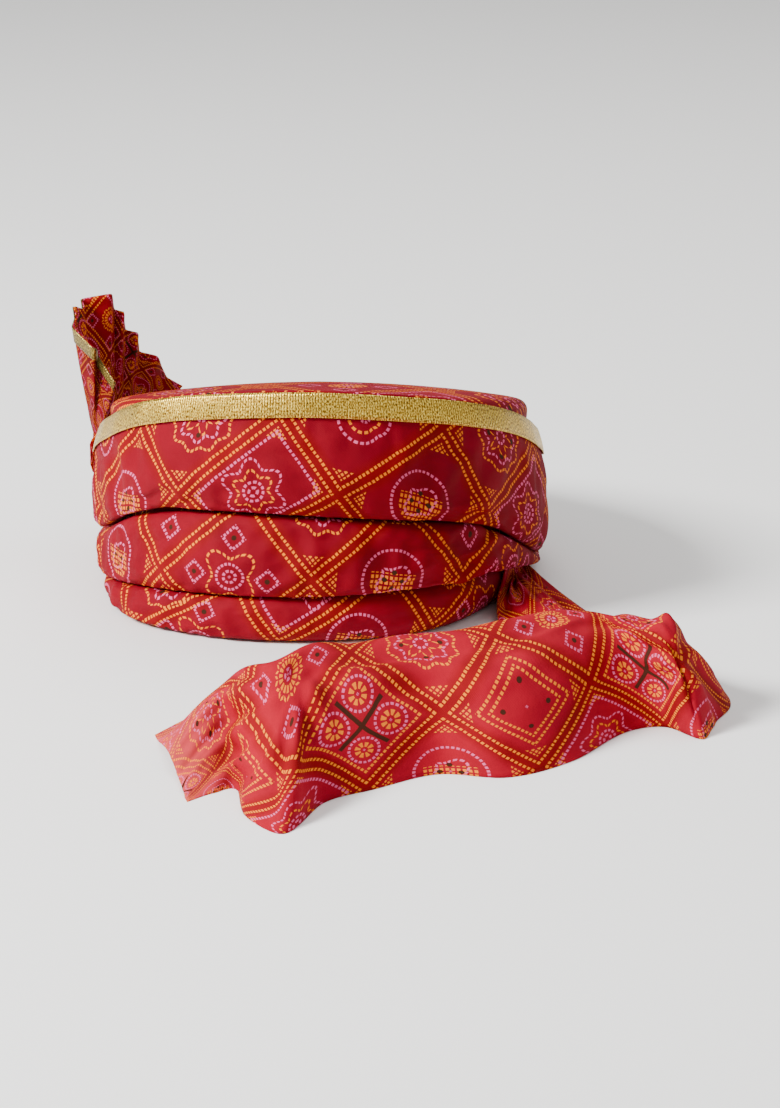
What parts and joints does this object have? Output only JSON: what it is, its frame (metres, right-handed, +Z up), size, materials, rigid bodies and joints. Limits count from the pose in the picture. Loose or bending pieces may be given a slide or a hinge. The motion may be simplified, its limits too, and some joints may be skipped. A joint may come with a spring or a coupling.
{
  "type": "tied turban pagri",
  "caption": "Ready-tied cloth pagri in red tie-dye print, with gold woven edging, a pleated fan at the left back and a free tail lying in front.",
  "frame": {"origin": "below the middle of the whole part, on the surface that it lies on", "axes": "+Z up, -Y towards the brow and the lying tail, +X towards the side where the tail leaves the turban"},
  "size_m": [0.351, 0.542, 0.1428],
  "materials": {
    "printed_cloth": "fine cotton-silk plain weave in crimson with yellow and pink tie-dye dots",
    "gold_zari": "ribbed gold metallic thread weave"
  },
  "bodies": {
    "root": {"crown": "printed_cloth", "upper_wrap": "printed_cloth", "middle_wrap": "printed_cloth", "lower_wrap": "printed_cloth", "zari_edge": "gold_zari", "turra_fan": "printed_cloth", "turra_zari": "gold_zari", "tail": "printed_cloth"}
  },
  "joints": []
}
